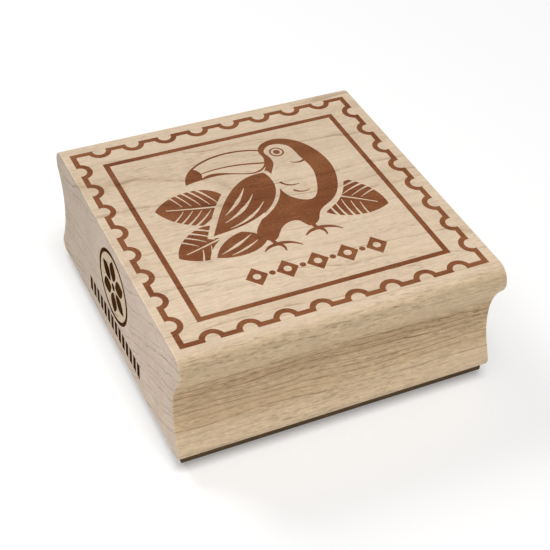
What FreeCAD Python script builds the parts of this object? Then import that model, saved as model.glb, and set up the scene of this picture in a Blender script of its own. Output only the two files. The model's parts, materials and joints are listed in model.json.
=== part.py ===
import FreeCAD
import Part
import math
import os

import Sketcher

# A wood-mounted rubber stamp, in millimetres, +Z up, as it stands on its die.
# The origin is the centre of the printing face, where the raised image meets the paper.
# X runs along the moulding that the block is cut from, and Y across it, from one roll to the other.
#
# From the bottom up: rubber die, film, foam cushion, film, wood block. The picture printed on top of
# the block and the mark burned into its left end are thin layers let flush into the wood, and the
# die's raised image is the same artwork at the same place, so that the top shows what it prints.

Vector = FreeCAD.Vector

SIZES = [
    ("block_length", 63.5, "wood block along X, end face to end face"),
    ("block_depth", 66.2, "wood block along Y, over both rolls"),
    ("block_height", 24.7, "wood block, bottom face to top face"),
    ("roll_radius", 3.1, "round roll along the top edges, front and back"),
    ("neck_depth", 59.3, "wood block along Y, at the bottom of both finger grooves"),
    ("groove_radius", 11.7, "upper part of the finger groove, under the roll"),
    ("neck_flat", 0.3, "short upright stretch at the neck"),
    ("flare_radius", 16.3, "lower part of the finger groove"),
    ("flare_angle", 25.0, "degrees from upright of the foot's slope"),
    ("foot_radius", 1.8, "round edge between slope and bottom face"),
    ("eased_edge", 0.18, "rounding of the edges of the two sawn ends"),
    ("film_thickness", 0.1, "adhesive film above and below the cushion"),
    ("foam_thickness", 1.2, "foam cushion"),
    ("die_length", 62.25, "rubber, films and cushion along X"),
    ("die_depth", 60.9, "rubber, films and cushion along Y"),
    ("die_offset_x", 0.625, "middle of rubber, films and cushion along X from the block's"),
    ("rubber_floor", 1.0, "solid rubber behind the raised image"),
    ("relief_height", 1.0, "raised image above the rubber floor"),
    ("print_length", 60.0, "perforated border along X"),
    ("print_depth", 58.4, "perforated border along Y"),
    ("border_stroke", 1.08, "width of both border lines"),
    ("inner_border_share", 0.829, "inner border's size over the perforated border's"),
    ("bite_radius", 1.35, "round bites of the perforated border"),
    ("bite_inset", 0.3, "bite centre, inward from the border's outer edge"),
    ("bites_per_side", 8, "round bites along each side of the border"),
    ("first_bite_share", 0.1, "first bite's place, as a share of the side"),
    ("print_offset_x", -0.27, "printed picture's centre from the block's"),
    ("print_offset_y", -0.26, "printed picture's centre from the block's"),
    ("smallest_speck", 0.4, "square millimetres of the smallest separate shape that prints"),
    ("layer_depth", 0.15, "how deep print and burned mark go into the wood"),
    ("lozenge_count", 5, "lozenges in the row under the bird, with a dot in each gap"),
    ("lozenge_length", 4.4, "lozenge along X"),
    ("lozenge_depth", 5.0, "lozenge along Y"),
    ("lozenge_pitch", 6.0, "from one lozenge to the next"),
    ("lozenge_hole", 0.75, "radius of the bare spot in each lozenge"),
    ("lozenge_dot", 0.6, "radius of the dots between the lozenges"),
    ("mark_radius", 7.6, "outer radius of the burned ring"),
    ("mark_stroke", 0.8, "width of the burned ring"),
    ("mark_centre_y", 0.25, "ring centre along Y"),
    ("mark_centre_drop", 10.1, "ring centre below the top face"),
    ("petal_count", 6, "petals of the rosette in the ring"),
    ("petal_tip", 6.1, "petal's outer tip from the ring centre"),
    ("petal_width", 3.2, "petal at its widest"),
    ("rosette_dot", 0.8, "radius of the dot between the petals"),
    ("bar_count", 14, "burned bars under the ring"),
    ("bar_share", 0.68, "bar's width as a share of the pitch"),
    ("bar_row_length", 27.6, "row of bars along Y, outside to outside"),
    ("bar_row_drop", 20.1, "row's middle below the top face"),
    ("bar_row_shift", 0.45, "row's middle along Y from the ring centre"),
    ("bar_height", 3.4, "height of each bar"),
]

TOLERANCE = 1e-6
VOLUME_TOLERANCE = 1.0
STROKE_STEPS = 10

doc = FreeCAD.newDocument("rubber_stamp")
sheet = doc.addObject("Spreadsheet::Sheet", "Sizes")
for row, (alias, value, meaning) in enumerate(SIZES, start=1):
    sheet.set(f"A{row}", alias)
    sheet.set(f"B{row}", str(value))
    sheet.set(f"C{row}", meaning)
    sheet.setAlias(f"B{row}", alias)
doc.recompute()


def size(alias):
    """A driving dimension, read from the sheet."""
    return float(sheet.get(alias))


# ---- flat artwork: faces in the XY plane, in millimetres from the picture's own centre ----


def smooth_edge(points):
    """One edge through the points: straight through two, a smooth curve through more."""
    places = [Vector(x, y, 0) for x, y in points]
    if len(places) == 2:
        return Part.makeLine(*places)
    curve = Part.BSplineCurve()
    curve.interpolate(places)
    return curve.toShape()


def outline(*runs):
    """A face bounded by smooth runs of points. Each run starts where the last one ended, at a corner."""
    return Part.Face(Part.Wire([smooth_edge(points) for points in runs]))


def closed_curve(points):
    """A face inside one smooth closed curve through the points."""
    curve = Part.BSplineCurve()
    curve.interpolate([Vector(x, y, 0) for x, y in points], PeriodicFlag=True)
    return Part.Face(Part.Wire(curve.toShape()))


def stroke(points, *widths):
    """A face like a brush stroke along a smooth line. The widths are spread evenly along it."""
    line = smooth_edge(points)
    left, right = [], []
    for step in range(STROKE_STEPS + 1):
        share = step / STROKE_STEPS
        along = line.FirstParameter + share * (line.LastParameter - line.FirstParameter)
        place = line.valueAt(along)
        heading = line.tangentAt(along)
        before = min(int(share * (len(widths) - 1)), len(widths) - 2)
        blend = share * (len(widths) - 1) - before
        width = widths[before] * (1 - blend) + widths[before + 1] * blend
        across = Vector(-heading.y, heading.x, 0) * width / 2
        left.append((place.x + across.x, place.y + across.y))
        right.append((place.x - across.x, place.y - across.y))
    right.reverse()
    return outline(left, [left[-1], right[0]], right, [right[-1], left[0]])


def disc(centre, radius):
    """A round face."""
    circle = Part.Circle(Vector(centre[0], centre[1], 0), Vector(0, 0, 1), radius)
    return Part.Face(Part.Wire(circle.toShape()))


def ring(centre, outer_radius, width):
    """A round line."""
    return disc(centre, outer_radius).cut(disc(centre, outer_radius - width))


def rectangle(length, depth, centre=(0, 0)):
    """A rectangular face about its centre, length along X and depth along Y."""
    corner = Vector(centre[0] - length / 2, centre[1] - depth / 2, 0)
    return Part.makePlane(length, depth, corner)


def notched_rectangle(inset):
    """The perforated border's outer edge, drawn inward by inset all round."""
    length = size("print_length")
    depth = size("print_depth")
    count = int(size("bites_per_side"))
    bites = []
    for side, other in ((length, depth), (depth, length)):
        first = -side / 2 + size("first_bite_share") * side
        pitch = -2 * first / (count - 1)
        reach = other / 2 - size("bite_inset")
        for bite in range(count):
            for out in (-reach, reach):
                along = first + bite * pitch
                centre = (along, out) if side == length else (out, along)
                bites.append(disc(centre, size("bite_radius") + inset))
    return rectangle(length - 2 * inset, depth - 2 * inset).cut(bites)


def perforated_border():
    """The outer line of the picture, with round bites like a torn sheet of labels."""
    return notched_rectangle(0).cut(notched_rectangle(size("border_stroke")))


def inner_border():
    """The plain line inside the perforated border."""
    length = size("print_length") * size("inner_border_share")
    depth = size("print_depth") * size("inner_border_share")
    line = size("border_stroke")
    return rectangle(length, depth).cut(rectangle(length - 2 * line, depth - 2 * line))


def bird_masses():
    """The big-beaked bird's three solid masses: body, wing and tail."""
    body = closed_curve([
        (5.3, 17.9), (7.4, 19.8), (10.7, 20.0), (14.2, 17.6), (16.4, 13.0), (16.8, 7.6), (15.2, 2.2),
        (11.9, -2.0), (8.0, -4.6), (6.4, -7.0), (4.4, -7.6), (3.2, -5.6), (0.6, -5.5), (-1.6, -7.4),
        (-3.6, -9.2), (-5.6, -7.4), (-3.4, -3.0), (0.2, 2.4), (2.2, 7.6), (3.6, 10.9), (5.0, 13.2), (5.2, 15.6),
    ])
    wing = outline(
        [(3.1, 10.6), (-1.2, 10.0), (-6.0, 6.4), (-9.8, 1.6), (-13.4, -4.0)],
        [(-13.4, -4.0), (-8.6, -3.4), (-3.4, -1.8), (0.8, 1.2), (3.3, 5.4), (3.1, 10.6)],
    )
    tail = outline(
        [(-8.2, -4.6), (-12.6, -6.6), (-15.2, -9.9)],
        [(-15.2, -9.9), (-11.4, -10.9), (-7.2, -10.3), (-4.6, -8.4)],
        [(-4.6, -8.4), (-5.4, -6.6), (-8.2, -4.6)],
    )
    return body, wing, tail


def bird():
    """The bird: solid masses with a bare bib, lines for the beak and the toes, and an eye."""
    body, wing, tail = bird_masses()
    bib = closed_curve([
        (6.3, 17.2), (8.6, 18.5), (11.2, 17.4), (12.1, 13.6), (12.7, 9.0), (11.5, 3.8), (8.2, -0.4),
        (5.0, 1.6), (4.0, 5.4), (4.4, 9.4), (6.3, 12.6), (6.4, 15.0),
    ])
    wing_edge = stroke([
        (-13.4, -4.2), (-8.4, -3.9), (-3.1, -2.3), (1.2, 0.9), (3.8, 5.3), (3.6, 10.8),
    ], 0.5, 0.9)
    feathers = [
        stroke([(-8.9, 0.9), (-5.6, 3.5), (-2.4, 7.4)], 0.1, 0.8, 0.1),
        stroke([(-9.9, -1.2), (-5.8, 0.9), (-1.6, 5.0)], 0.1, 0.8, 0.1),
        stroke([(-9.6, -3.0), (-5.0, -1.4), (-0.6, 2.2)], 0.1, 0.7, 0.1),
    ]
    tail_feathers = [
        stroke([(-14.0, -9.3), (-10.0, -7.7), (-6.8, -5.9)], 0.1, 0.7, 0.1),
        stroke([(-12.4, -10.2), (-9.0, -9.2), (-6.2, -7.8)], 0.1, 0.5, 0.1),
    ]
    bib_feathers = [
        stroke([(4.9, 6.6), (6.2, 5.1), (8.3, 4.9)], 0.6, 0.15),
        stroke([(6.3, 3.4), (7.6, 2.4), (9.4, 2.6)], 0.5, 0.15),
        stroke([(12.4, 11.6), (10.9, 11.3), (9.6, 12.0)], 0.6, 0.15),
    ]
    beak = outline(
        [(5.6, 17.8), (0.4, 19.2), (-5.4, 18.7), (-10.2, 16.1), (-12.4, 12.0)],
        [(-12.4, 12.0), (-8.4, 12.7), (-3.2, 12.4), (1.8, 10.9), (4.6, 12.4)],
        [(4.6, 12.4), (5.7, 15.0), (5.6, 17.8)],
    )
    beak_inside = outline(
        [(5.1, 17.5), (0.4, 18.75), (-5.2, 18.25), (-9.2, 16.4)],
        [(-9.2, 16.4), (-8.3, 14.9), (-8.6, 13.1)],
        [(-8.6, 13.1), (-3.1, 12.85), (1.8, 11.35), (4.2, 12.6)],
        [(4.2, 12.6), (5.2, 15.0), (5.1, 17.5)],
    )
    mouth = stroke([(-8.9, 14.3), (-4.0, 14.9), (0.8, 14.4), (5.4, 13.2)], 0.25, 0.5)
    eye = ring((8.5, 15.9), 1.5, 0.35).fuse(disc((8.5, 15.9), 0.7))
    lines = [beak.cut(beak_inside), mouth, eye] + bib_feathers
    for ankle_x, ankle_y in ((-4.0, -8.4), (5.0, -6.9)):
        lines.append(stroke([(ankle_x, ankle_y), (ankle_x + 0.4, ankle_y - 2.0)], 0.9, 0.8))
        for reach, drop in ((-2.9, 1.1), (0.9, 2.2), (4.4, 1.7)):
            toe = [(0.4, -1.9), (0.4 + reach * 0.55, -2.2), (0.4 + reach, -2.0 - drop)]
            lines.append(stroke([(ankle_x + x, ankle_y + y) for x, y in toe], 0.9, 0.7, 0.25))
    body = body.cut([bib, wing_edge, wing])
    wing = wing.cut(feathers)
    return Part.makeCompound([body, wing, tail.cut(tail_feathers)] + lines)


def leaf(base, tip, half_width, slits_per_side):
    """A broad leaf, bare along its midrib and slit from its edge between the side veins."""
    start = Vector(base[0], base[1], 0)
    axis = Vector(tip[0], tip[1], 0) - start
    across = Vector(-axis.y, axis.x, 0).normalize() * half_width

    def place(along, out):
        point = start + axis * along + across * out
        return point.x, point.y

    half_outline = [(0.0, 0.0), (0.06, 0.55), (0.25, 0.97), (0.55, 0.95), (0.82, 0.58), (1.0, 0.0)]
    upper = [place(along, out) for along, out in half_outline]
    lower = [place(along, -out) for along, out in reversed(half_outline)]
    midrib = stroke([place(-0.05, 0), place(0.4, 0.03), place(0.86, 0)], 0.55, 0.2)
    first_root, last_root = 0.16, 0.76
    slits = []
    for slit in range(slits_per_side):
        root = first_root + (last_root - first_root) * slit / slits_per_side
        for side in (-1, 1):
            bend = place(root + 0.11, side * 0.6)
            mouth = place(root + 0.3, side * 1.15)
            slits.append(stroke([place(root, side * 0.14), bend, mouth], 0.12, 0.6))
    return outline(upper, lower).cut([midrib] + slits)


def leaves():
    """Three leaves behind the bird, kept clear of it by a bare line."""
    body, wing, tail = bird_masses()
    bare_lines = [
        stroke([(2.0, 11.2), (-2.0, 10.2), (-6.6, 6.7), (-10.4, 1.8), (-14.2, -4.6)], 1.3, 1.3),
        stroke([(-7.4, -4.2), (-12.8, -6.2), (-16.2, -10.8)], 1.3, 1.3),
        stroke([(-13.9, -4.2), (-11.0, -4.3), (-7.0, -4.0)], 0.7, 2.2),
        stroke([(17.2, 7.8), (15.6, 2.0), (12.2, -2.4), (8.2, -5.0), (6.4, -8.0)], 1.3, 1.3),
    ]
    plain = [
        leaf((-6.6, 3.4), (-20.8, 6.6), 5.3, 5),
        leaf((-9.4, -4.0), (-21.6, -7.6), 4.5, 4),
        leaf((9.0, 1.4), (21.4, -7.0), 5.6, 5),
    ]
    return Part.makeCompound([shape.cut([body, wing, tail] + bare_lines) for shape in plain])


def lozenge(centre_x, centre_y):
    """A lozenge with a round bare spot in its middle."""
    half_length = size("lozenge_length") / 2
    half_depth = size("lozenge_depth") / 2
    left, right = (centre_x - half_length, centre_y), (centre_x + half_length, centre_y)
    back, front = (centre_x, centre_y + half_depth), (centre_x, centre_y - half_depth)
    shape = outline([left, back], [back, right], [right, front], [front, left])
    return shape.cut(disc((centre_x, centre_y), size("lozenge_hole")))


def ornament_row():
    """A row of lozenges and dots under the bird."""
    middle_x, middle_y = 1.3, -17.2
    count = int(size("lozenge_count"))
    pitch = size("lozenge_pitch")
    first_x = middle_x - (count - 1) / 2 * pitch
    lozenges = [lozenge(first_x + place * pitch, middle_y) for place in range(count)]
    dots = [
        disc((first_x + (gap + 0.5) * pitch, middle_y), size("lozenge_dot"))
        for gap in range(count - 1)
    ]
    return Part.makeCompound(lozenges + dots)


def mark_ring():
    """The plain burned ring."""
    return ring((0, 0), size("mark_radius"), size("mark_stroke"))


def mark_rosette():
    """Petals about the ring's centre, and a dot between them."""
    count = int(size("petal_count"))
    half_width = size("petal_width") / 2
    tip = (0, size("petal_tip"))
    root = (0, size("petal_tip") * 0.22)
    widest = size("petal_tip") * 0.57
    petal = outline([root, (half_width, widest), tip], [tip, (-half_width, widest), root])
    petals = [
        petal.rotated(Vector(0, 0, 0), Vector(0, 0, 1), turn * 360 / count)
        for turn in range(count)
    ]
    return Part.makeCompound([disc((0, 0), size("rosette_dot"))] + petals)


def mark_bars():
    """The row of plain upright bars under the ring."""
    count = int(size("bar_count"))
    pitch = size("bar_row_length") / (count - 1 + size("bar_share"))
    width = pitch * size("bar_share")
    middle_x = -size("bar_row_shift")
    middle_y = size("mark_centre_drop") - size("bar_row_drop")
    bars = []
    for bar in range(count):
        x = middle_x + (bar - (count - 1) / 2) * pitch
        bars.append(rectangle(width, size("bar_height"), (x, middle_y)))
    return Part.makeCompound(bars)


ARTWORK = {
    "perforated_border": perforated_border(),
    "inner_border": inner_border(),
    "bird": bird(),
    "leaves": leaves(),
    "ornament_row": ornament_row(),
}
END_MARK = {
    "ring": mark_ring(),
    "rosette": mark_rosette(),
    "bars": mark_bars(),
}


# ---- heights of the stack, as spreadsheet expressions ----

FLOOR_BOTTOM = "Sizes.relief_height"
RUBBER_TOP = "Sizes.relief_height + Sizes.rubber_floor"
FOAM_BOTTOM = RUBBER_TOP + " + Sizes.film_thickness"
FOAM_TOP = FOAM_BOTTOM + " + Sizes.foam_thickness"
WOOD_BOTTOM = FOAM_TOP + " + Sizes.film_thickness"
ROLL_CENTRE = "Sizes.block_depth / 2 - Sizes.roll_radius"

stack_height = sum(size(alias) for alias in ("relief_height", "rubber_floor", "foam_thickness"))
stack_height += 2 * size("film_thickness")
top_height = stack_height + size("block_height")


def plate(name, thickness, bottom):
    """A rectangular sheet of the die's outline, with its lower face at the height bottom."""
    box = doc.addObject("Part::Box", name)
    box.Label = name
    box.setExpression("Length", "Sizes.die_length")
    box.setExpression("Width", "Sizes.die_depth")
    box.setExpression("Height", f"Sizes.{thickness}")
    box.setExpression("Placement.Base.x", "Sizes.die_offset_x - Sizes.die_length / 2")
    box.setExpression("Placement.Base.y", "-Sizes.die_depth / 2")
    box.setExpression("Placement.Base.z", bottom)
    return box


def raised(name, artwork, height, placement):
    """Artwork given a thickness, its overlapping shapes joined and its slivers left out."""
    solids = [face.extrude(Vector(0, 0, height)) for face in artwork.Faces]
    joined = solids[0].multiFuse(solids[1:]).removeSplitter() if len(solids) > 1 else solids[0]
    smallest = size("smallest_speck") * height
    thing = doc.addObject("Part::Feature", name)
    thing.Label = name
    thing.Shape = Part.makeCompound([solid for solid in joined.Solids if solid.Volume > smallest])
    thing.Placement = placement
    return thing


# ---- the wood block ----


def origin_plane(body, role):
    """One of the body's own origin planes."""
    return next(plane for plane in body.Origin.OriginFeatures if plane.Role == role)


def draw_half_profile(sketch):
    """Draws the moulding's section on one side of the middle, in the sketch's own x (across) and y (up)."""
    roll = size("roll_radius")
    groove = size("groove_radius")
    flare = size("flare_radius")
    foot = size("foot_radius")
    slope = math.radians(size("flare_angle"))
    neck = size("neck_depth") / 2
    block_height = size("block_height")
    roll_centre = Vector(size("block_depth") / 2 - roll, top_height - roll, 0)
    groove_centre_x = neck + groove
    dip = math.acos((groove_centre_x - roll_centre.x) / (roll + groove))
    groove_centre = roll_centre + Vector(math.cos(dip), -math.sin(dip), 0) * (roll + groove)
    neck_top = Vector(neck, groove_centre.y, 0)
    neck_bottom = neck_top - Vector(0, size("neck_flat"), 0)
    flare_centre = neck_bottom + Vector(flare, 0, 0)
    flare_end = flare_centre - Vector(math.cos(slope), math.sin(slope), 0) * flare
    foot_centre_y = stack_height + foot
    slope_end_y = foot_centre_y + foot * math.sin(slope)
    slope_end = Vector(flare_end.x + (flare_end.y - slope_end_y) * math.tan(slope), slope_end_y, 0)
    foot_centre = slope_end - Vector(math.cos(slope), math.sin(slope), 0) * foot
    top_middle = Vector(0, top_height, 0)
    bottom_middle = Vector(0, stack_height, 0)

    def line(start, end):
        return sketch.addGeometry(Part.LineSegment(start, end), False)

    def arc(centre, radius, start_angle, end_angle):
        circle = Part.Circle(centre, Vector(0, 0, 1), radius)
        return sketch.addGeometry(Part.ArcOfCircle(circle, start_angle, end_angle), False)

    top = line(top_middle, roll_centre + Vector(0, roll, 0))
    roll_arc = arc(roll_centre, roll, -dip, math.pi / 2)
    groove_arc = arc(groove_centre, groove, math.pi - dip, math.pi)
    flat = line(neck_top, neck_bottom)
    flare_arc = arc(flare_centre, flare, math.pi, math.pi + slope)
    rise = line(flare_end, slope_end)
    foot_arc = arc(foot_centre, foot, -math.pi / 2, slope)
    bottom = line(foot_centre - Vector(0, foot, 0), bottom_middle)
    middle = line(bottom_middle, top_middle)

    start, end, centre = 1, 2, 3
    for first, first_end, second, second_end in (
        (top, end, roll_arc, end),
        (roll_arc, start, groove_arc, start),
        (groove_arc, end, flat, start),
        (flat, end, flare_arc, start),
        (flare_arc, end, rise, start),
        (rise, end, foot_arc, end),
        (foot_arc, start, bottom, start),
    ):
        sketch.addConstraint(Sketcher.Constraint("Tangent", first, first_end, second, second_end))
    sketch.addConstraint(Sketcher.Constraint("Coincident", bottom, end, middle, start))
    sketch.addConstraint(Sketcher.Constraint("Coincident", middle, end, top, start))
    sketch.addConstraint(Sketcher.Constraint("Horizontal", top))
    sketch.addConstraint(Sketcher.Constraint("Horizontal", bottom))
    sketch.addConstraint(Sketcher.Constraint("Vertical", middle))
    sketch.addConstraint(Sketcher.Constraint("Vertical", flat))
    sketch.addConstraint(Sketcher.Constraint("PointOnObject", middle, start, -2))

    driven = (
        ("Radius", (roll_arc, roll), "roll_radius", "Sizes.roll_radius"),
        ("Radius", (groove_arc, groove), "groove_radius", "Sizes.groove_radius"),
        ("Radius", (flare_arc, flare), "flare_radius", "Sizes.flare_radius"),
        ("Radius", (foot_arc, foot), "foot_radius", "Sizes.foot_radius"),
        ("Angle", (rise, slope - math.pi / 2), "slope_angle", "(Sizes.flare_angle - 90) * 1 deg"),
        ("DistanceY", (-1, start, middle, start, stack_height), "wood_bottom", WOOD_BOTTOM),
        ("DistanceY", (middle, start, middle, end, block_height), "block_height", "Sizes.block_height"),
        ("DistanceX", (-1, start, roll_arc, centre, roll_centre.x), "roll_place", ROLL_CENTRE),
        ("DistanceX", (-1, start, flat, start, neck), "neck_half_depth", "Sizes.neck_depth / 2"),
        ("DistanceY", (flat, end, flat, start, size("neck_flat")), "neck_flat", "Sizes.neck_flat"),
    )
    for kind, references, name, expression in driven:
        index = sketch.addConstraint(Sketcher.Constraint(kind, *references))
        sketch.renameConstraint(index, name)
        sketch.setExpression(f"Constraints.{name}", expression)


def block_moulding():
    """The solid length of moulding, sawn square at both ends, with its sawn edges eased."""
    body = doc.addObject("PartDesign::Body", "BlockMoulding")
    sketch = body.newObject("Sketcher::SketchObject", "MouldingSection")
    sketch.AttachmentSupport = [(origin_plane(body, "YZ_Plane"), "")]
    sketch.MapMode = "FlatFace"
    draw_half_profile(sketch)
    half = body.newObject("PartDesign::Pad", "HalfMoulding")
    half.Profile = sketch
    half.SideType = "Symmetric"
    half.setExpression("Length", "Sizes.block_length")
    whole = body.newObject("PartDesign::Mirrored", "WholeMoulding")
    whole.Originals = [half]
    whole.MirrorPlane = (origin_plane(body, "XZ_Plane"), [""])
    body.Tip = whole
    doc.recompute()
    end_x = size("block_length") / 2
    sawn_edges = [
        f"Edge{number}"
        for number, edge in enumerate(whole.Shape.Edges, start=1)
        if all(abs(abs(vertex.X) - end_x) < TOLERANCE for vertex in edge.Vertexes)
        and abs(edge.CenterOfMass.x) > end_x - TOLERANCE
    ]
    easing = body.newObject("PartDesign::Fillet", "EasedEdges")
    easing.Base = (whole, sawn_edges)
    easing.setExpression("Radius", "Sizes.eased_edge")
    body.Tip = easing
    doc.recompute()
    return body


moulding = block_moulding()

# ---- print on the top face, and the mark on the left end ----

layer = size("layer_depth")
print_place = FreeCAD.Placement(
    Vector(size("print_offset_x"), size("print_offset_y"), top_height - layer), FreeCAD.Rotation()
)
print_layers = [raised(f"index_{name}", face, layer, print_place) for name, face in ARTWORK.items()]

# Seen from outside the left end, the mark's own x runs towards -Y and its own y runs up.
facing_left = FreeCAD.Rotation(Vector(0, -1, 0), Vector(0, 0, 1), Vector(-1, 0, 0), "ZXY")
mark_place = FreeCAD.Placement(
    Vector(-size("block_length") / 2 + layer, size("mark_centre_y"), top_height - size("mark_centre_drop")),
    facing_left,
)
mark_layers = [raised(f"end_mark_{name}", face, layer, mark_place) for name, face in END_MARK.items()]

recesses = doc.addObject("Part::Compound", "Recesses")
recesses.Links = print_layers + mark_layers
wood_block = doc.addObject("Part::Cut", "wood_block")
wood_block.Label = "wood_block"
wood_block.Base = moulding
wood_block.Tool = recesses

# ---- the sheets under the block ----

block_film = plate("block_adhesive_film", "film_thickness", FOAM_TOP)
cushion = plate("foam_cushion", "foam_thickness", FOAM_BOTTOM)
die_film = plate("die_adhesive_film", "film_thickness", RUBBER_TOP)

floor = plate("DieFloor", "rubber_floor", FLOOR_BOTTOM)
reliefs = [
    raised(f"Relief_{name}", face, size("relief_height"), FreeCAD.Placement())
    for name, face in ARTWORK.items()
]
rubber_die = doc.addObject("Part::MultiFuse", "rubber_die")
rubber_die.Label = "rubber_die"
rubber_die.Shapes = [floor] + reliefs

doc.recompute()

nodes = [wood_block, block_film, cushion, die_film, rubber_die] + print_layers + mark_layers

# ---- checks, then one file for each sub-part ----

for thing in doc.Objects:
    if {"Invalid", "Error"} & set(thing.State):
        raise RuntimeError(f"{thing.Label} failed: {thing.State}")
for node in nodes:
    if node.Shape.isNull() or not node.Shape.isValid() or not node.Shape.Solids:
        raise RuntimeError(f"{node.Label} has no sound solid")
inlaid_volume = sum(inlay.Shape.Volume for inlay in print_layers + mark_layers)
if abs(wood_block.Shape.Volume + inlaid_volume - moulding.Shape.Volume) > VOLUME_TOLERANCE:
    raise RuntimeError("the print and the mark don't fill their recesses")

os.makedirs("parts", exist_ok=True)
for node in nodes:
    node.Shape.exportStep(f"parts/{node.Label}.step")
    box = node.Shape.optimalBoundingBox(False, False)
    print(
        f"{node.Label:28s} solids {len(node.Shape.Solids):3d}  volume {node.Shape.Volume:9.2f} mm3"
        f"  {box.XLength:6.2f} x {box.YLength:6.2f} x {box.ZLength:5.2f}"
    )
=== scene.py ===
import json
import math

import bmesh
import bpy
from mathutils import Matrix, Vector, noise


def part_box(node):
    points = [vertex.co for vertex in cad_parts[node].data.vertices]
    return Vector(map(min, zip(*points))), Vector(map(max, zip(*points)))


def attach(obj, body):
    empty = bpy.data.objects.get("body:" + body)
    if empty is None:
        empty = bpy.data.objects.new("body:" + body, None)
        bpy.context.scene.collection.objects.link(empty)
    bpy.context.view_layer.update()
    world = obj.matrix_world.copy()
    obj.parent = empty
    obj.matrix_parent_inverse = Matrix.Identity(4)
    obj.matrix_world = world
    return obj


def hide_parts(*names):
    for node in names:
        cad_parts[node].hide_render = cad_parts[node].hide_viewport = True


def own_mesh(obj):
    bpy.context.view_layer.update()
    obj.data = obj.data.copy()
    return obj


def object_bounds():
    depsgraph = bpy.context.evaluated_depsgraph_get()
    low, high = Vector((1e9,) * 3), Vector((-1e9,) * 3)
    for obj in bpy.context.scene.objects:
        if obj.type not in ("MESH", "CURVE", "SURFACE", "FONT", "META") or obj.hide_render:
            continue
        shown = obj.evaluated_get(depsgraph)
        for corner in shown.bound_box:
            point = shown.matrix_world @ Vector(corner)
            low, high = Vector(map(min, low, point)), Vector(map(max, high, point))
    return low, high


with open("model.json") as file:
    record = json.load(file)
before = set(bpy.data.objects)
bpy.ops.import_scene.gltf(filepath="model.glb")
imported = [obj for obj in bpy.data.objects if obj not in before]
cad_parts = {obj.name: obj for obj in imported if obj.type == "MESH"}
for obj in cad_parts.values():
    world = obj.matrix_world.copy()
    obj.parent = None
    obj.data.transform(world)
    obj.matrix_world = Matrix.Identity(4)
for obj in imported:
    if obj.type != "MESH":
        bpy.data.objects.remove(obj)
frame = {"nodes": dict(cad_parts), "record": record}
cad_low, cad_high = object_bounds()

# The looks of the wood-mounted rubber stamp. Lengths are in metres, and the materials' patterns are set out
# in millimetres.
MM = 0.001
WHITE = (1.0, 1.0, 1.0)


# ---- node building ----


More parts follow.
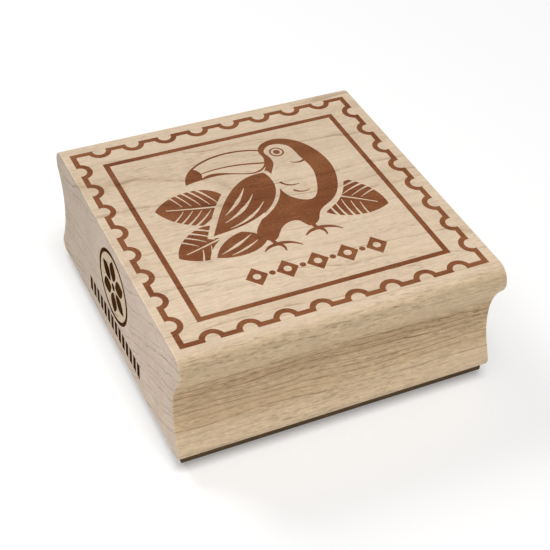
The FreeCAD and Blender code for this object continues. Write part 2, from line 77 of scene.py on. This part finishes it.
class Shader:
    """One material's node tree. Most methods add a node and return the socket that it gives out."""

    def __init__(self, name):
        self.material = bpy.data.materials.new(name)
        self.material.use_nodes = True
        self.tree = self.material.node_tree
        self.surface = self.tree.nodes["Principled BSDF"]

    def put(self, socket, value):
        """Links value to the socket if it is a socket itself, and otherwise sets it."""
        if isinstance(value, bpy.types.NodeSocket):
            self.tree.links.new(value, socket)
        elif hasattr(value, "__len__") and len(value) == 3 and len(socket.default_value) == 4:
            socket.default_value = (*value, 1.0)
        else:
            socket.default_value = value

    def set(self, **inputs):
        """Sets inputs of the Principled surface, named with underscores for spaces."""
        for name, value in inputs.items():
            self.put(self.surface.inputs[name.replace("_", " ")], value)

    def math(self, operation, first, second=0.0, third=0.0):
        node = self.tree.nodes.new("ShaderNodeMath")
        node.operation = operation
        for socket, value in zip(node.inputs, (first, second, third)):
            self.put(socket, value)
        return node.outputs[0]

    def times(self, first, *others):
        """All the values multiplied together."""
        product = first
        for value in others:
            product = self.math("MULTIPLY", product, value)
        return product

    def plus(self, start, value, gain):
        """The start, with value times gain added to it."""
        return self.math("MULTIPLY_ADD", value, gain, start)

    def combine(self, x, y, z):
        node = self.tree.nodes.new("ShaderNodeCombineXYZ")
        for socket, value in zip(node.inputs, (x, y, z)):
            self.put(socket, value)
        return node.outputs[0]

    def split(self, vector):
        node = self.tree.nodes.new("ShaderNodeSeparateXYZ")
        self.put(node.inputs[0], vector)
        return node.outputs

    def scaled(self, vector, factors):
        """The vector with each of its parts multiplied."""
        node = self.tree.nodes.new("ShaderNodeVectorMath")
        node.operation = "MULTIPLY"
        self.put(node.inputs[0], vector)
        self.put(node.inputs[1], factors)
        return node.outputs[0]

    def length(self, vector):
        node = self.tree.nodes.new("ShaderNodeVectorMath")
        node.operation = "LENGTH"
        self.put(node.inputs[0], vector)
        return node.outputs["Value"]

    def place_mm(self):
        """The point's place in the part's frame, in millimetres."""
        node = self.tree.nodes.new("ShaderNodeTexCoord")
        return self.scaled(node.outputs["Object"], (1 / MM,) * 3)

    def normal(self):
        """The X, Y and Z parts of the surface's outward direction."""
        return self.split(self.tree.nodes.new("ShaderNodeNewGeometry").outputs["Normal"])

    def noise(self, place, detail=2.0, roughness=0.5, distortion=0.0):
        """Noise that swings about 0.5, about once to each unit of place."""
        node = self.tree.nodes.new("ShaderNodeTexNoise")
        self.put(node.inputs["Vector"], place)
        node.inputs["Scale"].default_value = 1.0
        node.inputs["Detail"].default_value = detail
        node.inputs["Roughness"].default_value = roughness
        node.inputs["Distortion"].default_value = distortion
        return node.outputs["Fac"]

    def cells(self, place):
        """How far the point is from the middle of its cell, with cells about one unit across."""
        node = self.tree.nodes.new("ShaderNodeTexVoronoi")
        self.put(node.inputs["Vector"], place)
        node.inputs["Scale"].default_value = 1.0
        return node.outputs["Distance"]

    def between(self, value, low, high, to_low=0.0, to_high=1.0):
        """The value eased from one range onto another, and held at its ends."""
        node = self.tree.nodes.new("ShaderNodeMapRange")
        node.interpolation_type = "SMOOTHSTEP"
        names = ("Value", "From Min", "From Max", "To Min", "To Max")
        for name, number in zip(names, (value, low, high, to_low, to_high)):
            self.put(node.inputs[name], number)
        return node.outputs["Result"]

    def ramp(self, value, stops):
        """A grey level read from (place, level) stops."""
        node = self.tree.nodes.new("ShaderNodeValToRGB")
        self.put(node.inputs[0], value)
        band = node.color_ramp
        while len(band.elements) < len(stops):
            band.elements.new(1.0)
        for element, (place, level) in zip(band.elements, stops):
            element.position = place
            element.color = (level, level, level, 1.0)
        return node.outputs["Color"]

    def mix(self, share, first, second, blend="MIX"):
        """Two colours mixed."""
        node = self.tree.nodes.new("ShaderNodeMix")
        node.data_type = "RGBA"
        node.blend_type = blend
        inputs = {socket.identifier: socket for socket in node.inputs}
        outputs = {socket.identifier: socket for socket in node.outputs}
        for name, value in (("Factor_Float", share), ("A_Color", first), ("B_Color", second)):
            self.put(inputs[name], value)
        return outputs["Result_Color"]

    def multiply(self, share, first, second):
        """The first colour multiplied by the second, as far as share says."""
        return self.mix(share, first, second, "MULTIPLY")

    def bump(self, height, depth_mm):
        """A bump of that depth for a height from 0 to 1."""
        node = self.tree.nodes.new("ShaderNodeBump")
        node.inputs["Distance"].default_value = depth_mm * MM
        self.put(node.inputs["Height"], height)
        self.put(self.surface.inputs["Normal"], node.outputs[0])


# ---- maple ----

# The tree's heart lies far above and behind the block, and the grain dips a little towards the plain end.
HEART_Y, HEART_Z = 61.0, 191.0
GRAIN_DIP = 0.05
# how far a ripple moves the fibres to and fro and up and down
RIPPLE_ACROSS, RIPPLE_UP = 0.8, 0.4
# the years' rings: their spacing, how far they sway and shiver, and by how many years their spacing wanders
RING_SPACING = 1.2
RING_SWAY = 6.0
RING_SHIVER, SAWN_RING_SHIVER = 0.8, 0.35
YEARS_UNEVEN = 3.0
UNEVEN_PITCH = 0.16
# each year reads its strength from noise at a place of its own: a step along for each year, on one row
YEAR_STEP, YEAR_ROW = 0.73, 3.1
FAINT_YEAR = 0.10
# how much fainter the faint years are on the sawn ends, and how finely a year's line is broken
SAWN_CONTRAST = 1.3
BREAK_PITCH = 0.16
# the least strength of a line on the moulding, and how much finer and fainter a line is on the flat top
MOULDED_LEAST = 0.55
TOP_FINER, LINE_SHARE, TOP_FAINTER = 1.2, 0.95, 0.28
# how dark the year's line and band are from its first day (0) to its last (1)
YEAR_LINE = [(0.0, 0.5), (0.05, 0.0), (0.78, 0.0), (0.94, 1.0), (1.0, 0.5)]
YEAR_BAND = [(0.0, 0.4), (0.10, 0.0), (0.4, 0.05), (0.9, 1.0), (1.0, 0.4)]
# swings of each pattern to a millimetre: along the grain, across it and up
RIPPLE_PITCH = (0.24, 0.18, 0.18)
SWAY_PITCH = (0.022, 0.07, 0.07)
SHIVER_PITCH = (0.06, 0.20, 0.20)
FIBRE_PITCH = (0.12, 1.6, 1.6)
DASH_PITCH = (0.5, 3.1, 3.1)
PORE_PITCH = (0.38, 3.2, 3.2)
CROWD_PITCH = (0.03, 0.20, 0.20)
CURL_PITCH = (0.55, 0.22, 0.22)
FLECK_PITCH = (1.3, 2.2, 2.2)
STREAK_PITCH = (0.018, 0.16, 0.16)

EARLY_WOOD = (0.654, 0.503, 0.353)
PALE_WOOD = (0.720, 0.568, 0.410)
RING_LINE = (0.30, 0.190, 0.105)
RING_BAND = (0.56, 0.405, 0.262)
DASH_DARK = (0.33, 0.215, 0.125)
PORE_DARK = (0.20, 0.125, 0.070)
# partly the moulding's own warmer tone, partly painted warm light on the front and back
MOULDED_TONE_AND_WARM_LIGHT = (1.02, 0.985, 0.87)
# painted cool light at the front of the sawn ends, and painted shade towards their back
SAWN_FRONT_PAINTED_LIGHT = (1.03, 1.055, 1.18)
SAWN_BACK_PAINTED_SHADE = (0.82, 0.85, 0.935)
# painted highlight on the ends' eased edges
EDGE_HIGHLIGHT = (1.14, 1.15, 1.12)
HEATED_TINT = (1.04, 1.00, 0.86)
# the most that each mark covers of the colour under it, and how much paler a pale dash is
BAND_SHARE = 0.30
DARK_DASH_SHARE = 0.42
PORE_SHARE = 0.38
PALE_DASH_GAIN = 0.12
# the ends of each noise that are used, and the tone or share that they give
FIBRE_TONE = (0.25, 0.75, 0.93, 1.05)
CURL_TONE = (0.25, 0.75, 0.97, 1.03)
FLECK_TONE = (0.2, 0.8, 0.95, 1.05)
STREAK_SHARE = (0.35, 0.65, 0.2, 0.9)
# how open the grain is on the flat top and ends, how open on the moulding, and how much more in the groove
FLAT_GRAIN, MOULDED_GRAIN, GROOVE_GAIN = 0.42, 1.15, 0.8
# painted shade: how much darker the flat top is at its front edge and at its back edge, and how far out
# these are
TOP_SHADE = (-0.01, 0.08)
TOP_EDGE = 30.0
# painted light and shade on the sawn ends, in a cool light's colour: the ends' colour changes from the
# painted light at the front to the painted shade at the back between these two places
SAWN_FRONT, SAWN_BACK = -20.0, 28.0
# how squarely a surface faces an end to look sawn, and faces the front or back to look moulded
SAWN_FACING = (0.45, 0.85)
MOULDED_FACING = (0.15, 0.80)

block_low, block_high = (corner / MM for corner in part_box("wood_block"))
# painted light and shade in bands along the moulding: painted shade on the roll, painted shade in the groove
# under the roll (partly the wood's darker grain there), a little painted light below it, painted light on
# the foot and a painted highlight along the foot's bottom edge. Each band is a tint, and where it is
# strongest from the block's foot (0) to its top (1)
MOULDING_PAINTED_LIGHT = (
    ((0.87, 0.87, 0.88), [(0.875, 0.0), (0.915, 1.0), (0.94, 1.0), (0.97, 0.0)]),
    ((0.93, 0.875, 0.81), [(0.46, 0.0), (0.51, 1.0), (0.57, 1.0), (0.65, 0.0)]),
    ((1.02, 0.99, 0.955), [(0.22, 0.0), (0.27, 1.0), (0.45, 1.0), (0.50, 0.0)]),
    ((1.06, 1.07, 1.12), [(0.0, 1.0), (0.20, 1.0), (0.27, 0.0), (1.0, 0.0)]),
    ((1.12, 1.12, 1.10), [(0.0, 1.0), (0.010, 1.0), (0.020, 0.0), (1.0, 0.0)]),
)
# where the groove's more open grain is, from the foot to the top
GROOVE_GRAIN = [(0.35, 0.0), (0.48, 1.0), (0.60, 1.0), (0.70, 0.0)]
# how strongly the lines of the years show from the foot to the top: least on the foot and the roll
LINED_GRAIN = [(0.14, 0.35), (0.28, 1.0), (0.62, 1.0), (0.74, 0.3)]
# an end's edge is eased where the surface faces partly along the block, and gets a painted highlight there
EASED_EDGE = [(0.0, 0.0), (0.25, 1.0), (0.75, 1.0), (0.98, 0.0)]
# the heat of the burned mark went this far out from its middle, and fades over the last stretch of it
ring_low, ring_high = (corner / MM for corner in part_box("end_mark_ring"))
MARK_CENTRE = (ring_low + ring_high) / 2
MARK_HEAT = 8.2
HEAT_FADE = 1.0


class Grain:
    """Where a point lies in the block and its grain, in millimetres, and which way its surface faces."""

    def __init__(self, shader):
        self.x, self.y, self.z = shader.split(shader.place_mm())
        self.level = shader.plus(self.z, self.x, GRAIN_DIP)
        self.straight = shader.combine(self.x, self.y, self.level)
        ripple = shader.noise(shader.scaled(self.straight, RIPPLE_PITCH), 1.0)
        wavy_y = shader.plus(self.y, ripple, RIPPLE_ACROSS)
        wavy_level = shader.plus(self.level, ripple, RIPPLE_UP)
        self.along = shader.combine(self.x, wavy_y, wavy_level)
        block_height = block_high.z - block_low.z
        self.up_block = shader.math("DIVIDE", shader.math("SUBTRACT", self.z, block_low.z), block_height)

        # how far the surface faces an end, or the front or back, and where an end's eased edge gets its
        # painted highlight
        facing_end, facing_front = (shader.math("ABSOLUTE", part) for part in shader.normal()[:2])
        self.sawn = shader.between(facing_end, *SAWN_FACING)
        self.moulded = shader.between(facing_front, *MOULDED_FACING)
        self.eased = shader.ramp(facing_end, EASED_EDGE)
        self.flat_top = shader.math("SUBTRACT", 1.0, shader.math("MAXIMUM", self.sawn, self.moulded))


def tinted(shader, share, colour, tint):
    """The colour multiplied by a tint, as far as share says."""
    return shader.mix(share, colour, shader.multiply(1.0, colour, tint))


def toned(shader, colour, tone):
    """The colour multiplied by one number."""
    return shader.multiply(1.0, colour, shader.combine(tone, tone, tone))


def growth_rings(shader, grain):
    """Gives how far out the point is from the tree's heart, in years."""
    sway = shader.noise(shader.scaled(grain.along, SWAY_PITCH), 2.0)
    shiver = shader.noise(shader.scaled(grain.along, SHIVER_PITCH), 2.0)
    from_heart_y = shader.math("SUBTRACT", grain.y, HEART_Y)
    from_heart_z = shader.math("SUBTRACT", grain.level, HEART_Z)
    radius = shader.length(shader.combine(0.0, from_heart_y, from_heart_z))
    radius = shader.plus(radius, sway, RING_SWAY)
    radius = shader.plus(radius, shiver, shader.between(grain.sawn, 0.0, 1.0, RING_SHIVER, SAWN_RING_SHIVER))
    uneven = shader.noise(shader.combine(shader.times(radius, UNEVEN_PITCH), 0.0, 0.0), 1.0)
    return shader.plus(shader.math("DIVIDE", radius, RING_SPACING), uneven, YEARS_UNEVEN)


def year_strength(shader, grain, year):
    """How strong the year's lines are. Some years are faint, most of all on the sawn ends."""
    this_year = shader.combine(shader.times(year, YEAR_STEP), YEAR_ROW, 0.0)
    strength = shader.between(shader.noise(this_year, 0.0), 0.38, 0.62, FAINT_YEAR, 1.0)
    strength = shader.math("POWER", strength, shader.plus(1.0, grain.sawn, SAWN_CONTRAST))
    lined = shader.ramp(grain.up_block, LINED_GRAIN)
    strength = shader.math("MAXIMUM", strength, shader.times(grain.moulded, lined, MOULDED_LEAST))
    return shader.times(strength, shader.mix(grain.moulded, WHITE, lined))


def year_marks(shader, grain):
    """The thin line and the broad band that end each year, from 0 to 1."""
    years = growth_rings(shader, grain)
    year = shader.math("FLOOR", years)
    season = shader.math("FRACT", years)
    strength = year_strength(shader, grain, year)
    band = shader.times(shader.ramp(season, YEAR_BAND), strength)
    # the line is finer and fainter on the flat top, and broken along its length
    line = shader.math("POWER", shader.ramp(season, YEAR_LINE), shader.plus(1.0, grain.flat_top, TOP_FINER))
    on_line = shader.combine(shader.times(grain.x, BREAK_PITCH), shader.times(grain.y, BREAK_PITCH), year)
    faintest = shader.plus(0.08, grain.moulded, 0.25)
    broken = shader.between(shader.noise(on_line, 3.0, 0.7), 0.40, 0.58, faintest, 1.0)
    line_share = shader.plus(LINE_SHARE, grain.flat_top, -TOP_FAINTER)
    return shader.times(line, strength, broken, line_share), band


def tints_and_painted_light(shader, grain, colour):
    """The colour on each kind of surface: the moulding's warmer tone with painted warm light, painted light
    and shade in bands along the moulding, painted light and shade on the sawn ends, the yellowing heated by
    the mark, and a painted highlight on the eased edges.
    """
    colour = tinted(shader, grain.moulded, colour, MOULDED_TONE_AND_WARM_LIGHT)
    for tint, stops in MOULDING_PAINTED_LIGHT:
        # painted light and shade along the moulding
        in_painted_band = shader.times(grain.moulded, shader.ramp(grain.up_block, stops))
        colour = tinted(shader, in_painted_band, colour, tint)
    # painted light at the front of the ends and painted shade towards their back
    sawn_light_and_shade = shader.mix(shader.between(grain.y, SAWN_FRONT, SAWN_BACK), SAWN_FRONT_PAINTED_LIGHT, SAWN_BACK_PAINTED_SHADE)
    colour = tinted(shader, grain.sawn, colour, sawn_light_and_shade)
    from_mark_y = shader.math("SUBTRACT", grain.y, MARK_CENTRE.y)
    from_mark_z = shader.math("SUBTRACT", grain.z, MARK_CENTRE.z)
    from_mark = shader.length(shader.combine(0.0, from_mark_y, from_mark_z))
    heated = shader.between(from_mark, MARK_HEAT - HEAT_FADE, MARK_HEAT, 1.0, 0.0)
    at_marked_end = shader.between(grain.x, block_low.x + 2 * HEAT_FADE, block_low.x + HEAT_FADE)
    colour = tinted(shader, shader.times(heated, at_marked_end, grain.sawn), colour, HEATED_TINT)
    # painted highlight on the ends' eased edges
    return tinted(shader, grain.eased, colour, EDGE_HIGHLIGHT)


def maple(shader):
    """Maple as one solid pattern through the block, with painted light and shade on its surfaces. Gives its
    colour, and a height for its bump.
    """
    grain = Grain(shader)
    line, band = year_marks(shader, grain)

    # fibres, dark and pale dashes, pores, ripples across the grain, and broad streaks
    fibre = shader.noise(shader.scaled(grain.along, FIBRE_PITCH), 4.0, 0.6)
    dashes = shader.noise(shader.scaled(grain.along, DASH_PITCH), 2.0, 0.6)
    pores = shader.noise(shader.scaled(grain.along, PORE_PITCH), 1.0, 0.4)
    crowd = shader.between(shader.noise(shader.scaled(grain.straight, CROWD_PITCH), 1.0), 0.40, 0.60)
    dark_dash = shader.times(shader.between(dashes, 0.53, 0.67), shader.between(crowd, 0.0, 1.0, 0.5, 1.0))
    pale_dash = shader.between(dashes, 0.45, 0.32)
    pores = shader.times(shader.between(pores, 0.66, 0.74), crowd)
    curl = shader.noise(shader.scaled(grain.straight, CURL_PITCH), 3.0, 0.55, 0.4)
    fleck = shader.noise(shader.scaled(grain.straight, FLECK_PITCH), 2.0, 0.6)
    streaks = shader.noise(shader.scaled(grain.straight, STREAK_PITCH), 3.0)
    in_groove = shader.times(grain.moulded, shader.ramp(grain.up_block, GROOVE_GRAIN))
    open_grain = shader.between(grain.moulded, 0.0, 1.0, FLAT_GRAIN, MOULDED_GRAIN)
    open_grain = shader.plus(open_grain, in_groove, GROOVE_GAIN)

    colour = shader.mix(shader.between(streaks, *STREAK_SHARE), EARLY_WOOD, PALE_WOOD)
    colour = shader.mix(shader.times(band, BAND_SHARE), colour, RING_BAND)
    colour = shader.mix(line, colour, RING_LINE)
    fibre_tone = shader.between(fibre, *FIBRE_TONE)
    curl_tone = shader.between(curl, *CURL_TONE)
    fleck_tone = shader.between(fleck, *FLECK_TONE)
    pale_tone = shader.plus(1.0, shader.times(pale_dash, open_grain), PALE_DASH_GAIN)
    # painted shade on the flat top, darker towards its back
    shade = shader.times(grain.flat_top, shader.between(grain.y, -TOP_EDGE, TOP_EDGE, *TOP_SHADE))
    lit = shader.math("SUBTRACT", 1.0, shade)
    colour = toned(shader, colour, shader.times(fibre_tone, curl_tone, fleck_tone, pale_tone, lit))
    colour = shader.mix(shader.times(dark_dash, open_grain, DARK_DASH_SHARE), colour, DASH_DARK)
    colour = shader.mix(shader.times(pores, PORE_SHARE), colour, PORE_DARK)
    colour = tints_and_painted_light(shader, grain, colour)

    height = shader.plus(shader.times(fleck, 0.25), fibre, 0.5)
    for hollow, depth in ((dark_dash, 0.35), (pores, 0.6), (line, 0.12)):
        height = shader.plus(height, hollow, -depth)
    return colour, height


def bare_maple():
    shader = Shader("bare_maple")
    colour, height = maple(shader)
    roughness = shader.between(height, 0.2, 0.7, 0.70, 0.52)
    shader.set(Base_Color=colour, Roughness=roughness, Specular_IOR_Level=0.25)
    shader.bump(height, depth_mm=0.06)
    return shader.material


# ---- print and burned mark ----

PRINT_LIGHT = (0.385, 0.185, 0.100)
PRINT_DARK = (0.275, 0.105, 0.048)
CHAR_LIGHT = (0.12, 0.060, 0.028)
CHAR_DARK = (0.055, 0.025, 0.012)
CLOUD_PITCH = (0.09, 0.2, 0.2)


def stained_maple(name, light, dark, speckle, sheen):
    """Maple seen through a stain, which lets a share of its colour through, between dark and light."""
    shader = Shader(name)
    wood, height = maple(shader)
    place = shader.place_mm()
    cloud = shader.noise(shader.scaled(place, CLOUD_PITCH), 3.0)
    grains = shader.noise(shader.scaled(place, (speckle,) * 3), 2.0, 0.7)
    share = shader.plus(shader.times(cloud, 0.5), grains, 0.5)
    stain = shader.mix(shader.between(share, 0.38, 0.62), light, dark)
    roughness = shader.between(grains, 0.3, 0.7, 0.62, 0.80)
    shader.set(Base_Color=shader.multiply(1.0, wood, stain), Roughness=roughness, Specular_IOR_Level=sheen)
    shader.bump(shader.plus(height, grains, 0.4), depth_mm=0.05)
    return shader.material


# ---- what lies under the block ----

RUBBER_DARK = (0.115, 0.070, 0.030)
RUBBER_BLOOM = (0.165, 0.105, 0.052)
RUBBER_SUNK = (0.10, 0.060, 0.028)
BLOOM_PITCH = (0.25, 0.25, 0.6)
RUBBER_GRAIN_PITCH = (5.0,) * 3
ENGRAVING_PASS = 0.25
FOAM_HOLE = (0.022, 0.014, 0.007)
FOAM_WALL = (0.065, 0.044, 0.024)
FOAM_MOTTLE = (0.040, 0.027, 0.014)
CELL_PITCH = (4.5,) * 3
MOTTLE_PITCH = (0.8,) * 3
# painted shade: the film's colours are dark brown, darker than its own amber-white
FILM_SHADE_DARK = (0.085, 0.055, 0.028)
FILM_SHADE_PALE = (0.14, 0.10, 0.058)
FILM_PITCH = (0.15, 1.8, 1.8)


def engraved_rubber():
    """Matt rubber with a little bloom, and fine lines where engraving sank its floor."""
    shader = Shader("engraved_rubber")
    place = shader.place_mm()
    x, y, z = shader.split(place)
    bloom = shader.noise(shader.scaled(place, BLOOM_PITCH), 4.0, 0.6)
    grains = shader.noise(shader.scaled(place, RUBBER_GRAIN_PITCH), 2.0)
    sunk = shader.between(z, 0.15, 0.6)
    passes = shader.times(shader.math("SINE", shader.times(y, 2 * math.pi / ENGRAVING_PASS)), sunk)
    colour = shader.mix(shader.between(bloom, 0.3, 0.7), RUBBER_DARK, RUBBER_BLOOM)
    colour = shader.mix(shader.times(sunk, 0.35), colour, RUBBER_SUNK)
    roughness = shader.between(grains, 0.3, 0.7, 0.70, 0.85)
    shader.set(Base_Color=colour, Roughness=roughness, Specular_IOR_Level=0.15)
    shader.bump(shader.plus(grains, passes, 0.25), depth_mm=0.03)
    return shader.material


def cell_foam():
    """Dark closed-cell foam: small round cells, cut open where the sheet was cut."""
    shader = Shader("cell_foam")
    place = shader.place_mm()
    mottle = shader.noise(shader.scaled(place, MOTTLE_PITCH), 3.0)
    wall = shader.between(shader.cells(shader.scaled(place, CELL_PITCH)), 0.25, 0.7)
    colour = shader.mix(wall, FOAM_HOLE, FOAM_WALL)
    colour = shader.mix(shader.between(mottle, 0.3, 0.7, 0.0, 0.4), colour, FOAM_MOTTLE)
    shader.set(Base_Color=colour, Roughness=0.85, Specular_IOR_Level=0.1)
    shader.bump(wall, depth_mm=0.08)
    return shader.material


def adhesive_film():
    """A thin film with streaks where it was rolled on, coloured dark brown as painted shade under the
    block's foot rather than in its own amber-white.
    """
    shader = Shader("adhesive_film")
    streaks = shader.noise(shader.scaled(shader.place_mm(), FILM_PITCH), 3.0)
    colour = shader.mix(shader.between(streaks, 0.3, 0.7), FILM_SHADE_DARK, FILM_SHADE_PALE)
    shader.set(Base_Color=colour, Roughness=shader.between(streaks, 0.3, 0.7, 0.3, 0.5))
    shader.bump(streaks, depth_mm=0.01)
    return shader.material


FINISHES = {
    "maple": bare_maple(),
    "index_print": stained_maple("index_print_stain", PRINT_LIGHT, PRINT_DARK, speckle=4.0, sheen=0.2),
    "burned_mark": stained_maple("burned_char", CHAR_LIGHT, CHAR_DARK, speckle=3.0, sheen=0.0),
    "die_rubber": engraved_rubber(),
    "foam": cell_foam(),
    "adhesive": adhesive_film(),
}
for subpart in frame["record"]["subparts"]:
    node = frame["nodes"][subpart["node"]]
    node.data.materials.clear()
    node.data.materials.append(FINISHES[subpart["material_slot"]])


# ---- the foam cushion ----

FOAM_STEP = 0.9 * MM
FOAM_ROWS = 7
FOAM_HOLLOW = 0.12 * MM
FOAM_ROUGHNESS = 0.05 * MM
FOAM_ROUGH_SPAN = 0.7 * MM


def foam_rim(low, high):
    """The way round the cushion's four sides: each place, which way is out, and whether it is a corner."""
    corners = ((low.x, low.y), (high.x, low.y), (high.x, high.y), (low.x, high.y))
    corners = [Vector(corner) for corner in corners]
    rim = []
    for start, end in zip(corners, corners[1:] + corners[:1]):
        steps = round((end - start).length / FOAM_STEP)
        outward = Vector((end.y - start.y, start.x - end.x)).normalized()
        for step in range(steps):
            rim.append((start.lerp(end, step / steps), outward, step == 0))
    return rim


def foam_ring(rim, share, z):
    """One level of the cut sides, at a share of the foam's height. Corners, top and bottom stay true."""
    places = []
    for place, outward, at_corner in rim:
        inward = 0.0
        if not at_corner:
            inward = FOAM_HOLLOW * math.sin(math.pi * share)
            if 0.0 < share < 1.0:
                inward += abs(noise.noise(Vector((place.x, place.y, z)) / FOAM_ROUGH_SPAN)) * FOAM_ROUGHNESS
        places.append((place.x - outward.x * inward, place.y - outward.y * inward, z))
    return places


def foam_pad():
    """The cushion with its four cut sides as a knife leaves them: a little hollow, and uneven."""
    low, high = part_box("foam_cushion")
    rim = foam_rim(low, high)
    mesh = bmesh.new()
    rows = []
    for row in range(FOAM_ROWS + 1):
        share = row / FOAM_ROWS
        z = low.z + share * (high.z - low.z)
        rows.append([mesh.verts.new(place) for place in foam_ring(rim, share, z)])
    for lower, upper in zip(rows, rows[1:]):
        for index in range(len(rim)):
            following = (index + 1) % len(rim)
            mesh.faces.new((lower[index], lower[following], upper[following], upper[index]))
    mesh.faces.new(list(reversed(rows[0])))
    mesh.faces.new(rows[-1])
    data = bpy.data.meshes.new("foam_pad")
    mesh.to_mesh(data)
    mesh.free()
    pad = bpy.data.objects.new("foam_pad", data)
    bpy.context.scene.collection.objects.link(pad)
    data.materials.append(FINISHES["foam"])
    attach(pad, "block")
    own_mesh(pad)
    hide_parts("foam_cushion")


foam_pad()


# ---- floor, light and camera ----

FLOOR_SPAN = 6.0
FLOOR_SHADE = 0.70
FLOOR_GLOW = 0.30
FLOOR_GAP = 0.02 * MM
# how bright the walls are at their foot and higher up, and how far up the change between them goes
WALL_FOOT, WALL_TOP = 0.40, 0.12
WALL_FADE = 0.3
# each softbox: its name, its place, its power in watts, and its span
SOFTBOXES = (
    ("key", (-0.05, -0.22, 0.77), 4.5, 0.35),
    ("back_fill", (-0.30, 0.45, 0.55), 2.4, 0.30),
)


def pale_floor():
    shader = Shader("pale_floor")
    shader.set(Base_Color=(FLOOR_SHADE,) * 3, Roughness=0.9, Specular_IOR_Level=0.1)
    shader.set(Emission_Color=WHITE, Emission_Strength=FLOOR_GLOW)
    mesh = bpy.data.meshes.new("floor")
    half = FLOOR_SPAN / 2
    corners = [(-half, -half, 0), (half, -half, 0), (half, half, 0), (-half, half, 0)]
    mesh.from_pydata(corners, [], [(0, 1, 2, 3)])
    mesh.materials.append(shader.material)
    floor = bpy.data.objects.new("floor", mesh)
    bpy.context.scene.collection.objects.link(floor)
    floor.location.z = cad_low.z - FLOOR_GAP


def softbox(name, place, watts, span):
    """A square area light at place, facing the stamp."""
    light = bpy.data.lights.new(name, "AREA")
    light.energy = watts
    light.size = span
    lamp = bpy.data.objects.new(name, light)
    lamp.location = place
    lamp.rotation_euler = (-Vector(place)).to_track_quat("-Z", "Y").to_euler()
    bpy.context.scene.collection.objects.link(lamp)


def studio_walls():
    """Dim walls all round, paler near the floor so that the floor fades into them."""
    world = bpy.data.worlds.new("studio")
    bpy.context.scene.world = world
    world.use_nodes = True
    nodes, links = world.node_tree.nodes, world.node_tree.links
    rise = nodes.new("ShaderNodeSeparateXYZ")
    links.new(nodes.new("ShaderNodeTexCoord").outputs["Generated"], rise.inputs[0])
    fade = nodes.new("ShaderNodeMapRange")
    fade.interpolation_type = "SMOOTHSTEP"
    levels = {"From Min": 0.0, "From Max": WALL_FADE, "To Min": WALL_FOOT, "To Max": WALL_TOP}
    for name, number in levels.items():
        fade.inputs[name].default_value = number
    links.new(rise.outputs["Z"], fade.inputs["Value"])
    links.new(fade.outputs["Result"], nodes["Background"].inputs["Strength"])
    nodes["Background"].inputs["Color"].default_value = (*WHITE, 1.0)


pale_floor()
for box_of_light in SOFTBOXES:
    softbox(*box_of_light)
studio_walls()
bpy.context.scene.view_settings.view_transform = "Standard"

# The camera stands at the front left, above, leaning a little to its right. Its aim is measured from the
# middle of the stamp's top.
VIEW_AZIMUTH = math.radians(-27.2114)
VIEW_ELEVATION = math.radians(40.6696)
VIEW_ROLL = math.radians(3.4904)
VIEW_DISTANCE = 240.838 * MM
VIEW_AIM = Vector((-2.672, -8.188, -9.700)) * MM
LENS_MM, SENSOR_MM = 83.815, 36.0

back = Vector((
    math.sin(VIEW_AZIMUTH) * math.cos(VIEW_ELEVATION),
    -math.cos(VIEW_AZIMUTH) * math.cos(VIEW_ELEVATION),
    math.sin(VIEW_ELEVATION),
))
aim = Vector((0, 0, cad_high.z)) + VIEW_AIM
camera_data = bpy.data.cameras.new("camera")
camera_data.lens = LENS_MM
camera_data.sensor_width = SENSOR_MM
camera_data.clip_start = 0.01
camera = bpy.data.objects.new("camera", camera_data)
upright = (-back).to_track_quat("-Z", "Y").to_matrix()
turned = upright @ Matrix.Rotation(VIEW_ROLL, 3, "Z")
camera.matrix_world = Matrix.Translation(aim + back * VIEW_DISTANCE) @ turned.to_4x4()
bpy.context.scene.collection.objects.link(camera)
bpy.context.scene.camera = camera
